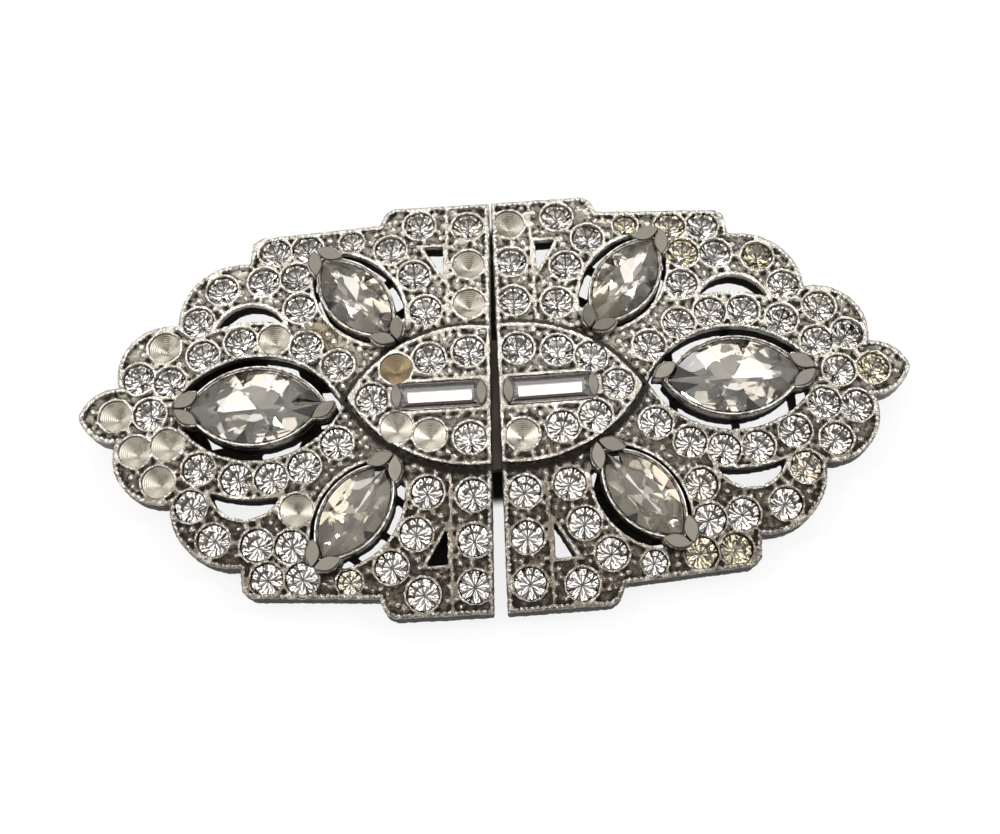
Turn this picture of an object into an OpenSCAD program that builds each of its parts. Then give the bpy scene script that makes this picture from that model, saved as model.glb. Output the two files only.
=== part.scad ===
// Double dress clip brooch: two matching cast clips side by side on a hidden pin frame.
// X runs from tip to tip, Y along the joint between the clips, Z up out of the face.
// Each clip is drawn once, for the side where X is positive, and the other is that clip turned half round.
// Its rows are mirrored about its own X axis, and heights are taken from the domed face.

/* [Casting] */
// Thickness of the cast plate
plate_t = 2.2; // [1.8:0.1:2.6]
// Radius of the dome across the clip
dome_r = 170; // [140:5:260]
// Slope of each clip down towards its tip, degrees
droop = 0.8; // [0:0.1:1.2]
// Turn that opens the joint towards its lower end, degrees
split = 0.75; // [0.4:0.05:1]
// Outward lean of the rows for each millimetre up the clip
lean = 0.024; // [0:0.002:0.03]

/* [Outline] */
// Distance of the clip's inner edge from the joint line
inner_x = 0.33; // [0.3:0.01:0.5]
// Extra slant of the inner edge for each millimetre up the clip
inner_slant = 0.013; // [0:0.001:0.02]
// Width of the box at each end of the joint
box_x = 10.5; // [10.2:0.1:10.8]
// Half height of the clip at the box
box_y = 20.4; // [20.2:0.1:21]
// Outer end of the shelf beside the box
shelf_x = 23.0; // [22.8:0.1:23.4]
// Half height of the clip at the shelf
shelf_y = 18.2; // [18:0.1:18.6]
// Radius of the large scallops
scallop_1_r = 6.0; // [5.8:0.1:6.3]
// Radius of the small scallops
scallop_2_r = 4.75; // [4.6:0.05:5]
// Distance from the small scallops' centres out to the tip's widest place
tip_neck = 4.5; // [4.2:0.1:4.8]
// Length of the pointed tip beyond its widest place
tip_l = 3.7; // [3.3:0.1:4.2]
// Half width of the tip where it leaves the scallops
tip_w = 2.75; // [2.5:0.05:3]

/* [Relief] */
// Width of the raised rims
rim_w = 0.35; // [0.3:0.05:0.45]
// Height of the raised rims
rim_h = 0.25; // [0.15:0.05:0.4]
// Width of the collars round the round stones
collar_w = 0.25; // [0.2:0.05:0.3]
// Height of the medallion above the plate
medal_h = 0.7; // [0.5:0.1:0.9]
// Half height of the medallion at its widest
medal_y = 6.9; // [6.8:0.1:7]
// Radius of the medallion's edge
medal_r = 13.5; // [13.2:0.1:14]
// Height of the cup walls above the plate
cup_h = 0.7; // [0.5:0.1:0.9]
// Thickness of the cup walls
cup_w = 0.35; // [0.3:0.05:0.4]
// Width of the struts that carry the cups
strut_w = 0.6; // [0.5:0.05:0.8]

/* [Openings] */
// Half length of the opening round the outer marquise
almond_l = 8.1; // [8:0.1:8.3]
// Half width of that opening
almond_w = 5.1; // [5:0.05:5.15]
// Radius of the arcs of the openings round the small marquises
slit_r = 7.3; // [7.2:0.1:7.6]
// Reach of those openings on the side of the joint
slit_in = 3.95; // [3.85:0.05:4]
// Reach of those openings on the side of the tip
slit_out = 3.4; // [3.35:0.05:3.45]
// Radius of the crescent openings above the arch
crescent_r = 3.5; // [3.3:0.05:3.6]

/* [Stones] */
// Diameter of the round stones
round_d = 2.85; // [2.7:0.05:2.9]
// Diameter of the small round stones
small_d = 2.15; // [2:0.05:2.2]
// Length of the outer marquise
big_l = 12.4; // [12:0.1:12.6]
// Width of the outer marquise
big_w = 7.1; // [6.8:0.1:7.3]
// Length of the small marquises
navette_l = 10.0; // [9.8:0.1:10.2]
// Width of the small marquises
navette_w = 5.3; // [5:0.1:5.4]
// Length of the baguette
baguette_l = 7.8; // [7.4:0.1:7.9]
// Width of the baguette
baguette_w = 2.6; // [2.4:0.05:2.7]
// Clearance of each stone in its seat
seat_gap = 0.08; // [0.05:0.01:0.1]

/* [Back] */
// Thickness of the levers
lever_t = 0.9; // [0.7:0.1:1.2]
// Width of the levers
lever_w = 8.0; // [6:0.5:8.5]
// Distance from the joint to a lever's free end
lever_in = 3.0; // [2:0.5:5]
// Thickness of the pin frame
frame_t = 1.1; // [0.9:0.1:1.4]
// Length of the pin frame
frame_l = 24.8; // [20:0.4:25.6]
// Width of the pin frame
frame_w = 13.0; // [12.6:0.2:14]
// Diameter of the pin wire
pin_d = 0.8; // [0.6:0.05:0.9]
// Clearance between the pieces at the back
back_gap = 0.1; // [0.05:0.01:0.2]

/* [Hidden] */
$fn = 48;

// Facets of the dome, so many that its chords leave its height as it is
dome_fn = 360;
// Height that is out of the way of every cut
far = 30;

metal = [0.62, 0.59, 0.54];
glass = [0.88, 0.9, 0.92];
steel = [0.66, 0.66, 0.64];

// Stations of the upper half of a clip: name, x, y and size, where 0 is a small stone
NAME = 0;
X = 1;
Y = 2;
SIZE = 3;
column_x = 2.2;
column_y = 9.5;
column_pitch = 4.2;
COLUMN = [for (i = [0:2]) [str("c", i + 1), column_x, column_y + i * column_pitch, 1]];
FIELD = [
    ["b1", 6.95, 18.35, 1],
    ["a1", 6.4, 9.0, 1],
    ["a2", 7.5, 12.8, 1],
    ["a3", 9.8, 15.75, 1],
    ["m1", 2.3, 4.25, 1],
    ["m2", 6.05, 3.75, 1],
    ["m3", 9.15, 2.9, 1],
    ["e1", 13.6, 16.9, 0],
    ["e2", 17.95, 16.35, 1],
    ["e3", 21.15, 16.25, 1],
    ["f1", 18.95, 13.35, 1],
    ["f2", 22.1, 13.05, 1],
    ["g1", 18.5, 10.0, 1],
    ["h1", 26.1, 12.4, 1],
    ["h2", 28.3, 9.1, 1],
    ["j1", 31.4, 6.65, 1],
    ["j2", 33.7, 3.6, 1]
];
AXIS = [["m4", 11.5, 0, 1], ["k7", 32.45, 0, 1], ["t1", 35.7, 0, 1]];

// Centres of the upper scallops, and where the pointed tip starts
scallop_1 = [24.2, 9.1];
scallop_2 = [31, 4.1];
tip_root = scallop_2[0] + tip_neck;
// How far the ends of the box and of the shelf are out of square
box_slant = 0.4;
shelf_slant = 0.35;
// Place of the rib beside the column, and the size and place of the opening beyond it
rib_x = 4.1;
gap_rim = 0.2;
gap_w = 1.95;
gap_l = 3.4;
gap_top = 15.8;

// The outer marquise, the opening round it and the arch of stones share their centres
big_x = 22.4;
almond_end = big_x + big_l / 2 + 0.8;
almond_r = (almond_l * almond_l + almond_w * almond_w) / (2 * almond_w);
almond_c = almond_r - almond_w;
arch_w = 1.86;
arch_r = almond_r + arch_w;
crescent_at = [23.2, 7.1];
slit_l = navette_l - 0.4;
ARCH_ANGLES = [134.5, 115, 98, 81, 61, 40];
ARCH = [for (i = [0:len(ARCH_ANGLES) - 1])
    [str("k", i + 1), big_x + arch_r * cos(ARCH_ANGLES[i]), arch_r * sin(ARCH_ANGLES[i]) - almond_c, 1]];

UPPER = concat(COLUMN, FIELD, ARCH);
// A stone below the axis has the name of the one above it with an x
STATIONS = concat(UPPER, AXIS, [for (s = UPPER) [str(s[NAME], "x"), s[X], -s[Y], s[SIZE]]]);
// Seats whose stones are gone
LOST_RIGHT = ["c3", "m1x"];
LOST_LEFT = ["c1x", "c2x", "m2", "m3", "m3x", "k3x", "k6", "j1", "j2", "t1", "j1x", "g1"];

function lost(side) = side > 0 ? LOST_RIGHT : LOST_LEFT;
function height_at(s) = s[NAME][0] == "m" ? medal_h : 0;
function stone_d(s) = s[SIZE] == 1 ? round_d : small_d;

// The small marquises, on a slant beside the medallion
navette_x = 13.05;
navette_y = 10.55;
navette_turn = 52.7;
medal_x = 2.0;
baguette_x = 5.1;

// Crown, depth and table as shares of a round stone's diameter
crown_share = 0.2;
depth_share = 0.44;
table_share = 0.56;
// Crowns and depths of the other stones, and the width of the baguette's step
big_crown = 0.9;
big_depth = 1.7;
navette_crown = 0.8;
navette_depth = 1.5;
baguette_crown = 0.45;
baguette_depth = 0.8;
baguette_step = 0.55;
// Lip of a seat, radius of its flat floor, and how far a cup stays above the plate's back
seat_lip = 0.2;
seat_floor = 0.25;
cup_floor = 0.1;
// A prong's leaves: size, rise, turn and place from the end of the stone
leaf_l = 2.6;
leaf_w = 1.25;
leaf_up = 0.35;
leaf_turn = 32;
leaf_out = 0.25;
leaf_side = 1.05;
// Places of the struts along the cups
big_strut_x = 5.6;
small_strut_x = 3.4;

// The block that hinges a lever lies clear of the frame's end, and the lever ends with it
hinge_l = 1.7;
hinge_room = 0.5;
hinge_x = frame_l / 2 + hinge_room;
lever_out = hinge_x + hinge_l;
// Heights at the back, from the plane that the levers rest on
frame_z = lever_t + back_gap;
// The plate's back clears the frame's outer corner, where the dome and the droop bring it lowest
corner_drop = frame_l / 2 * sin(droop) + pow(frame_w / 2, 2) / (2 * (dome_r - plate_t));
back_z = frame_z + frame_t + corner_drop + back_gap;
face_z = back_z + plate_t;

// A point of the clip, with its lean
function spot(x, y) = [x + lean * y, y];
function spots(points) = [for (p = points) spot(p[0], p[1])];

// Carries a shape from the clip's own frame to its side of the joint
module side_of(side) {
    turn = side > 0 ? 0 : 180;
    rotate([0, 0, turn + side * split])
        rotate([0, droop, 0])
            translate([0, 0, face_z])
                children();
}

// Stands a shape on the domed face, square to it
module on_face(x, y, h = 0) {
    p = spot(x, y);
    translate([p[0], 0, -dome_r])
        rotate([-asin(p[1] / dome_r), 0, 0])
            translate([0, 0, dome_r + h])
                children();
}

// The layer of the dome between two heights
module layer(low, high) {
    translate([-5, 0, -dome_r])
        rotate([0, 90, 0])
            difference() {
                cylinder(r = dome_r + high, h = 50, $fn = dome_fn);
                translate([0, 0, -1])
                    cylinder(r = dome_r + low, h = 52, $fn = dome_fn);
            }
}

// A flat shape raised through one layer of the dome
module raised(low, high) {
    intersection() {
        translate([0, 0, -far / 2])
            linear_extrude(height = far)
                children();
        layer(low, high);
    }
}

module disc(x, y, r) {
    translate(spot(x, y))
        circle(r = r);
}

// Pointed oval about the origin, between two arcs
module vesica(l, w) {
    r = (l * l + w * w) / (2 * w);
    intersection() {
        translate([0, w - r])
            circle(r = r);
        translate([0, r - w])
            circle(r = r);
    }
}

// The clip's outline, drawn in by a margin
module outline(m = 0) {
    y1 = box_y - m;
    y2 = shelf_y - m;
    waist_x = scallop_2[0];
    tip_r = (tip_l * tip_l + tip_w * tip_w) / (2 * tip_w);
    polygon(spots([
        [inner_x + m + inner_slant * y1, y1],
        [inner_x + m - inner_slant * y1, -y1],
        [box_x - box_slant - m, -y1],
        [box_x + box_slant - m, -y2 - shelf_slant],
        [shelf_x - m, -y2 + shelf_slant],
        [shelf_x + shelf_slant - m, 1 - y2],
        [scallop_1[0], -scallop_1[1]],
        [waist_x, -scallop_2[1]],
        [waist_x, scallop_2[1]],
        [scallop_1[0], scallop_1[1]],
        [shelf_x + shelf_slant - m, y2 - 1],
        [shelf_x - m, y2 - shelf_slant],
        [box_x + box_slant - m, y2 + shelf_slant],
        [box_x - box_slant - m, y1]
    ]));
    for (row = [1, -1]) {
        disc(scallop_1[0], row * scallop_1[1], scallop_1_r - m);
        disc(scallop_2[0], row * scallop_2[1], scallop_2_r - m);
    }
    intersection() {
        disc(tip_root, tip_w - tip_r, tip_r - m);
        disc(tip_root, tip_r - tip_w, tip_r - m);
        translate([waist_x, -tip_w])
            square([2 * tip_l + waist_x, 2 * tip_w]);
    }
}

// The opening round the outer marquise, which ends where its prongs stand
module almond(m = 0) {
    intersection() {
        disc(big_x, -almond_c, almond_r + m);
        disc(big_x, almond_c, almond_r + m);
        translate([0, -box_y])
            square([almond_end + m, 2 * box_y]);
    }
}

// The opening round a small marquise, shorter than the stone because its prongs stand past its ends
module slit(row, m = 0) {
    turn = row * navette_turn;
    translate(spot(navette_x, row * navette_y))
        rotate(turn)
            intersection() {
                translate([0, -row * (slit_r - slit_in)])
                    circle(r = slit_r + m);
                translate([0, row * (slit_r - slit_out)])
                    circle(r = slit_r + m);
                square([slit_l + 2 * m, 2 * slit_r], center = true);
            }
}

// The crescent over the arch of stones
module crescent(row, m = 0) {
    difference() {
        disc(crescent_at[0], row * crescent_at[1], crescent_r + m);
        disc(big_x, -row * almond_c, arch_r + arch_w - m);
    }
}

// The small three-cornered opening beside the column
module corner_gap(row, m = 0) {
    side_x = rib_x + rim_w + gap_rim;
    polygon(spots([
        [side_x - m, row * (gap_top + m)],
        [side_x + gap_w + 2 * m, row * (gap_top + m)],
        [side_x - m, row * (gap_top - gap_l - 3 * m)]
    ]));
}

module openings(m = 0) {
    almond(m);
    for (row = [1, -1]) {
        slit(row, m);
        crescent(row, m);
        corner_gap(row, m);
    }
}

// The raised medallion that holds the baguette
module medallion(m = 0) {
    intersection() {
        disc(medal_x, medal_y - medal_r, medal_r - m);
        disc(medal_x, medal_r - medal_y, medal_r - m);
        polygon(spots([
            [inner_x + inner_slant * box_y + m, box_y],
            [inner_x - inner_slant * box_y + m, -box_y],
            [shelf_x, -box_y],
            [shelf_x, box_y]
        ]));
    }
}

// The rib between the column of stones and the curved strip
module column_rib(row) {
    polygon(spots([
        [rib_x, row * medal_y],
        [rib_x + rim_w, row * medal_y],
        [rib_x + rim_w, row * (box_y - rim_w / 2)],
        [rib_x, row * (box_y - rim_w / 2)]
    ]));
}

// Struts from the plate to the cups, across the openings
module struts() {
    for (row = [1, -1]) {
        for (x = [-big_strut_x, 0, big_strut_x])
            translate(spot(big_x + x, row * almond_w / 2))
                square([strut_w, almond_w + 1], center = true);
        translate(spot(navette_x, row * navette_y))
            rotate(row * navette_turn)
                for (x = [-small_strut_x, 0, small_strut_x])
                    translate([x, 0])
                        square([strut_w, slit_in + slit_out + 1], center = true);
    }
}

// A cup is the marquise's outline with a wall round it, set square to the face
module cup(x, y, turn, l, w) {
    on_face(x, y)
        rotate(turn)
            translate([0, 0, cup_floor - plate_t])
                linear_extrude(height = plate_t - cup_floor + cup_h)
                    vesica(l / 2 + seat_gap + 1.2 * cup_w, w / 2 + seat_gap + cup_w);
}

// The hollow of a cup has a flat floor above the plate's back
module cup_hollow(x, y, turn, l, w, depth) {
    on_face(x, y, cup_h)
        rotate(turn)
            translate([0, 0, -depth - seat_lip - seat_gap])
                linear_extrude(height = far)
                    vesica(l / 2 + seat_gap, w / 2 + seat_gap);
}

// One flat leaf of a prong, beside the pointed end of a stone
module leaf(turn) {
    rotate(turn)
        translate([0.1, 0, -plate_t / 2])
            linear_extrude(height = plate_t / 2 + cup_h + leaf_up)
                vesica(leaf_l / 2, leaf_w / 2);
}

// The two leaves that close over the end of a stone of half length l
module prong(x, y, turn, l, leaves = [1, -1]) {
    on_face(x, y)
        rotate(turn)
            for (k = leaves)
                translate([l + leaf_out, k * leaf_side, 0])
                    leaf(-k * leaf_turn);
}

// The discs that leave a collar round each seat at one height
module collars(h) {
    for (s = STATIONS)
        if (height_at(s) == h)
            disc(s[X], s[Y], stone_d(s) / 2 + seat_gap + collar_w);
}

// The seat of a round stone: a straight lip over a cone
module seat(s) {
    r = stone_d(s) / 2 + seat_gap;
    on_face(s[X], s[Y], height_at(s))
        rotate_extrude()
            polygon([
                [0, 1],
                [r, 1],
                [r, -seat_lip],
                [seat_floor, -seat_lip - stone_d(s) * depth_share],
                [0, -seat_lip - stone_d(s) * depth_share]
            ]);
}

module baguette_seat() {
    l = baguette_l + 2 * seat_gap;
    w = baguette_w + 2 * seat_gap;
    on_face(baguette_x, 0, medal_h)
        translate([-l / 2, -w / 2, -baguette_depth - seat_lip])
            cube([l, w, far]);
}

// The low walls that hold the baguette, and the plates over its ends
module baguette_walls() {
    l = baguette_l + 2 * seat_gap + 2 * rim_w;
    w = baguette_w + 2 * seat_gap + 2 * rim_w;
    on_face(baguette_x, 0, 0)
        translate([-l / 2, -w / 2, 0])
            cube([l, w, medal_h + rim_h]);
    on_face(baguette_x + baguette_l / 2 + 0.55, 0, 0)
        translate([-0.4, -1, 0])
            cube([0.8, 2, medal_h + rim_h + 0.2]);
}

module casting() {
    difference() {
        union() {
            raised(-plate_t, 0)
                difference() {
                    outline();
                    openings();
                }
            raised(-0.4, rim_h)
                difference() {
                    union() {
                        difference() {
                            outline();
                            outline(rim_w);
                        }
                        intersection() {
                            outline(rim_w / 2);
                            openings(rim_w);
                        }
                        intersection() {
                            outline(rim_w / 2);
                            collars(0);
                        }
                        column_rib(1);
                        column_rib(-1);
                    }
                    openings();
                }
            raised(-0.4, medal_h)
                medallion();
            raised(0, medal_h + rim_h) {
                difference() {
                    medallion();
                    medallion(rim_w);
                }
                intersection() {
                    medallion(rim_w / 2);
                    collars(medal_h);
                }
            }
            raised(-plate_t, -plate_t / 2)
                intersection() {
                    struts();
                    openings(0.2);
                }
            baguette_walls();
            cup(big_x, 0, 0, big_l, big_w);
            prong(big_x, 0, 0, big_l / 2);
            prong(big_x, 0, 180, big_l / 2, [-1]);
            for (row = [1, -1]) {
                turn = row * navette_turn;
                cup(navette_x, row * navette_y, turn, navette_l, navette_w);
                prong(navette_x, row * navette_y, turn, navette_l / 2);
                prong(navette_x, row * navette_y, turn + 180, navette_l / 2);
            }
        }
        cup_hollow(big_x, 0, 0, big_l, big_w, big_depth);
        for (row = [1, -1])
            cup_hollow(navette_x, row * navette_y, row * navette_turn, navette_l, navette_w, navette_depth);
        baguette_seat();
        for (s = STATIONS)
            seat(s);
    }
}

module clip(side) {
    color(metal)
        side_of(side)
            casting();
}

// Points of a stone's edge, 16 of them: a circle, or a pointed oval
function ring_16(r) = [for (i = [0:15]) [r * cos(i * 22.5), r * sin(i * 22.5)]];
function vesica_16(l, w) =
    let (r = (l * l + w * w) / (2 * w), a = asin(l / r))
    [for (i = [0:15])
        let (up = i < 8, k = up ? i : i - 8, p = 90 - a + 2 * a * k / 8)
        up ? [r * cos(p), r * sin(p) - r + w] : [-r * cos(p), r - w - r * sin(p)]];

// A cut stone: an eight-sided table, a crown of 24 facets and 16 facets down to one point
module cut_stone(edge, crown, depth) {
    table = [for (i = [0:7]) [edge[2 * i][0] * table_share, edge[2 * i][1] * table_share, crown]];
    girdle = [for (p = edge) [p[0], p[1], 0]];
    points = concat(table, girdle, [[0, 0, -depth]]);
    polyhedron(
        points = points,
        faces = concat(
            [[for (i = [7:-1:0]) i]],
            [for (i = [0:7]) [i, 8 + 2 * i, 8 + (2 * i + 15) % 16]],
            [for (i = [0:7]) [i, 8 + 2 * i + 1, 8 + 2 * i]],
            [for (i = [0:7]) [i, (i + 1) % 8, 8 + 2 * i + 1]],
            [for (i = [0:15]) [8 + i, 8 + (i + 1) % 16, 24]]
        )
    );
}

// A step-cut oblong stone, narrowed to a small flat below
module step_stone(l, w, crown, depth, step) {
    function slab(a, b, z) = [[-a, -b, z], [a, -b, z], [a, b, z], [-a, b, z]];
    points = concat(
        slab(l / 2 - step, w / 2 - step, crown),
        slab(l / 2, w / 2, 0),
        slab(l / 2 - 1.6 * step, w / 2 - 1.6 * step, -depth)
    );
    polyhedron(
        points = points,
        faces = concat(
            [[3, 2, 1, 0], [8, 9, 10, 11]],
            [for (i = [0:3]) [i, (i + 1) % 4, 4 + (i + 1) % 4, 4 + i]],
            [for (i = [0:3]) [4 + i, 4 + (i + 1) % 4, 8 + (i + 1) % 4, 8 + i]]
        )
    );
}

module rounds(side) {
    color(glass)
        side_of(side)
            for (s = STATIONS)
                if (len([for (n = lost(side)) if (n == s[NAME]) n]) == 0)
                    on_face(s[X], s[Y], height_at(s))
                        cut_stone(ring_16(stone_d(s) / 2), stone_d(s) * crown_share, stone_d(s) * depth_share);
}

module marquise_tip(side) {
    color(glass)
        side_of(side)
            on_face(big_x, 0, cup_h)
                cut_stone(vesica_16(big_l / 2, big_w / 2), big_crown, big_depth);
}

// Row 1 is the upper row of the clip as drawn, which is the lower one on the clip that is turned round
module marquise_row(side, row) {
    color(glass)
        side_of(side)
            on_face(navette_x, row * navette_y, cup_h)
                rotate(row * navette_turn)
                    cut_stone(vesica_16(navette_l / 2, navette_w / 2), navette_crown, navette_depth);
}

module baguette(side) {
    color(glass)
        side_of(side)
            on_face(baguette_x, 0, medal_h + rim_h)
                step_stone(baguette_l, baguette_w, baguette_crown, baguette_depth, baguette_step);
}

// A clip's lever, shut: a leaf under the frame, and the block that hinges it to the plate's back
module lever(side) {
    hinge_z = back_z - back_gap - lever_out * sin(droop) - pow(lever_w / 4, 2) / (2 * (dome_r - plate_t));
    color(steel)
        rotate([0, 0, side > 0 ? 0 : 180]) {
            translate([lever_in, -lever_w / 2, 0])
                cube([lever_out - lever_in, lever_w, lever_t]);
            translate([hinge_x, -lever_w / 4, 0])
                cube([hinge_l, lever_w / 2, hinge_z]);
        }
}

// The strap that both clips slide onto
module pin_frame() {
    color(steel)
        translate([-frame_l / 2, -frame_w / 2, frame_z])
            cube([frame_l, frame_w, frame_t]);
}

// The pin, shut, with its hinge block and its catch under the upper edge of the frame
module pin() {
    block_l = 2.2;
    block_w = 1.6;
    pin_y = lever_w / 2 + back_gap + 0.3 + block_w / 2;
    pin_x = frame_l / 2 - block_l;
    color(steel)
        translate([0, pin_y, 0]) {
            for (x = [-pin_x, pin_x - block_l])
                translate([x, -block_w / 2, back_gap])
                    cube([block_l, block_w, frame_z - 2 * back_gap]);
            translate([block_l / 2 - pin_x, 0, frame_z / 2])
                rotate([0, 90, 0])
                    cylinder(d = pin_d, h = 2 * pin_x - block_l);
        }
}

clip(1);  // clip_right
clip(-1);  // clip_left
rounds(1);  // rounds_right
rounds(-1);  // rounds_left
marquise_tip(1);  // marquise_tip_right
marquise_row(1, 1);  // marquise_top_right
marquise_row(1, -1);  // marquise_bottom_right
marquise_tip(-1);  // marquise_tip_left
marquise_row(-1, -1);  // marquise_top_left
marquise_row(-1, 1);  // marquise_bottom_left
baguette(1);  // baguette_right
baguette(-1);  // baguette_left
lever(1);  // lever_right
lever(-1);  // lever_left
pin_frame();
pin();
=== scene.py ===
import math
import random

import bpy
from mathutils import Matrix, Vector


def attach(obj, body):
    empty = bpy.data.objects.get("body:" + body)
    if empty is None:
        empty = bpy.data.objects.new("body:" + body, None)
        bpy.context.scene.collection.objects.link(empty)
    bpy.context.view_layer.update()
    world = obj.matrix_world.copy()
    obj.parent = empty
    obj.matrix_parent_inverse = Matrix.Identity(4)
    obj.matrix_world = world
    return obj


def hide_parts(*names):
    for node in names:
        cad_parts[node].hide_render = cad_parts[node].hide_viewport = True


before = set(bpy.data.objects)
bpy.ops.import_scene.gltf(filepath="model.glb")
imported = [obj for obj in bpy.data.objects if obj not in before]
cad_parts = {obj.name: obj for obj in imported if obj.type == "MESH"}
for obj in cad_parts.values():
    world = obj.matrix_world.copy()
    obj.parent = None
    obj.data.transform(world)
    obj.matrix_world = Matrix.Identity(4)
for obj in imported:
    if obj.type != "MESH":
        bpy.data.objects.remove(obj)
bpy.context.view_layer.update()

MM = 0.001

# Sizes of the clip, as in the part
plate_t = 2.2
dome_r = 170.0
droop = 0.8
split = 0.75
lean = 0.024
inner_x = 0.33
inner_slant = 0.013
box_x = 10.5
box_y = 20.4
shelf_x = 23.0
shelf_y = 18.2
box_slant = 0.4
shelf_slant = 0.35
shelf_lip = 1.0
scallop_1 = (24.2, 9.1, 6.0)
scallop_2 = (31.0, 4.1, 4.75)
tip_neck = 4.5
tip_l = 3.7
tip_w = 2.75
tip_root = scallop_2[0] + tip_neck
rim_w = 0.35
rim_h = 0.25
collar_w = 0.25
medal_x = 2.0
medal_y = 6.9
medal_r = 13.5
medal_h = 0.7
cup_h = 0.7
rib_x = 4.1
gap_rim = 0.2
gap_w = 1.95
gap_l = 3.4
gap_top = 15.8
seat_gap = 0.08
seat_lip = 0.2
round_d = 2.85
small_d = 2.15
big_x = 22.4
big_l = 12.4
big_w = 7.1
almond_l = 8.1
almond_w = 5.1
almond_end = big_x + big_l / 2 + 0.8
navette_x = 13.05
navette_y = 10.55
navette_turn = 52.7
navette_l = 10.0
navette_w = 5.3
slit_r = 7.3
slit_in = 3.95
slit_out = 3.4
slit_l = navette_l - 0.4
crescent_at = (23.2, 7.1)
crescent_r = 3.5
arch_w = 1.86
baguette_x = 5.1
baguette_l = 7.8
baguette_w = 2.6
# The plain back, and the height of the face over the plane that the levers rest on
lever_t = 0.9
frame_t = 1.1
frame_l = 24.8
frame_w = 13.0
back_gap = 0.1
corner_drop = frame_l / 2 * math.sin(math.radians(droop)) + (frame_w / 2) ** 2 / (2 * (dome_r - plate_t))
face_z = lever_t + frame_t + 2 * back_gap + corner_drop + plate_t

almond_r = (almond_l ** 2 + almond_w ** 2) / (2 * almond_w)
almond_c = almond_r - almond_w
arch_r = almond_r + arch_w

# Seats of the upper half of a clip: x, y and diameter. A seat below the axis has its name with an x
upper_seats = {
    "c1": (2.2, 9.5, round_d), "c2": (2.2, 13.7, round_d), "c3": (2.2, 17.9, round_d),
    "b1": (6.95, 18.35, round_d), "a1": (6.4, 9.0, round_d), "a2": (7.5, 12.8, round_d),
    "a3": (9.8, 15.75, round_d), "m1": (2.3, 4.25, round_d), "m2": (6.05, 3.75, round_d),
    "m3": (9.15, 2.9, round_d), "e1": (13.6, 16.9, small_d), "e2": (17.95, 16.35, round_d),
    "e3": (21.15, 16.25, round_d), "f1": (18.95, 13.35, round_d), "f2": (22.1, 13.05, round_d),
    "g1": (18.5, 10.0, round_d), "h1": (26.1, 12.4, round_d), "h2": (28.3, 9.1, round_d),
    "j1": (31.4, 6.65, round_d), "j2": (33.7, 3.6, round_d),
}
for number, angle in enumerate((134.5, 115, 98, 81, 61, 40), 1):
    arch_x = big_x + arch_r * math.cos(math.radians(angle))
    upper_seats[f"k{number}"] = (arch_x, arch_r * math.sin(math.radians(angle)) - almond_c, round_d)
seats = dict(upper_seats)
seats.update({name + "x": (x, -y, d) for name, (x, y, d) in upper_seats.items()})
seats.update({"m4": (11.5, 0.0, round_d), "k7": (32.45, 0.0, round_d), "t1": (35.7, 0.0, round_d)})
# Seats whose stones are lost, on the right clip (1) and on the left one (-1)
lost = {
    1: ("c3", "m1x"),
    -1: ("c1x", "c2x", "m2", "m3", "m3x", "k3x", "k6", "j1", "j2", "t1", "j1x", "g1"),
}
# Dark lumps under some openings, which make them look dark: x, y, turn, half length and half width
dark_lumps = {1: [(navette_x, -navette_y, -navette_turn, 3.9, 8.4)], -1: [(5.4, 14.4, 60, 1.6, 2.2)]}
for row in (1, -1):
    dark_lumps[-1] += [(17.2, row * 3.1, row * 38, 1.5, 1.5), (24.6, row * 4.3, row * -14, 2.3, 1.5)]
    dark_lumps[-1] += [(28.4, row * 2.4, row * -38, 1.5, 1.5)]
# Seats that hold a crust of old glue
crusted = {1: (), -1: ("m3x",)}
# Round stones whose foil is the most yellow
yellowed = {1: ("t1", "e2x", "e3x"), -1: ()}


def spot(x, y):
    """A point of the clip with its lean."""
    return Vector((x + lean * y, y))


def on_face(x, y, h=0.0, turn=0.0):
    """The place square to the domed face at a point of the clip, h above it."""
    centre = Matrix.Translation((x + lean * y, 0, -dome_r))
    bow = Matrix.Rotation(-math.asin(y / dome_r), 4, "X") @ Matrix.Translation((0, 0, dome_r + h))
    return centre @ bow @ Matrix.Rotation(math.radians(turn), 4, "Z")


def on_spot(p, h=0.0):
    """The same at a point that has its lean already."""
    return on_face(p.x - lean * p.y, p.y, h)


def on_navette(row, h=0.0, turn=0.0):
    """The same at the upper small marquise (row 1) or the lower one (row -1), along its length."""
    return on_face(navette_x, row * navette_y, h, row * navette_turn + turn)


def face_height_at(name):
    """The height of the face at a seat: those whose names start with m stand on the medallion."""
    return medal_h if name[0] == "m" else 0.0


def clip_place(side):
    """From a clip's own millimetres to the model's metres."""
    turn = (0.0 if side > 0 else math.pi) + side * math.radians(split)
    tilt = Matrix.Rotation(math.radians(droop), 4, "Y") @ Matrix.Translation((0, 0, face_z))
    return Matrix.Scale(MM, 4) @ Matrix.Rotation(turn, 4, "Z") @ tilt


# Distances in the plan of the clip, which are negative inside a shape

def disc_gap(p, x, y, r):
    return (p - spot(x, y)).length - r


def polygon_gap(p, corners):
    nearest = 1e9
    inside = False
    for a, b in zip(corners, corners[1:] + corners[:1]):
        edge = b - a
        along = max(0.0, min(1.0, (p - a).dot(edge) / edge.length_squared))
        nearest = min(nearest, (p - a - edge * along).length)
        if (a.y > p.y) != (b.y > p.y) and p.x < a.x + (p.y - a.y) * edge.x / edge.y:
            inside = not inside
    return -nearest if inside else nearest


def vesica_gap(p, half_l, half_w):
    """Distance to a pointed oval about the origin."""
    r = (half_l * half_l + half_w * half_w) / (2 * half_w)
    return max((p - Vector((0, half_w - r))).length, (p - Vector((0, r - half_w))).length) - r


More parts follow.
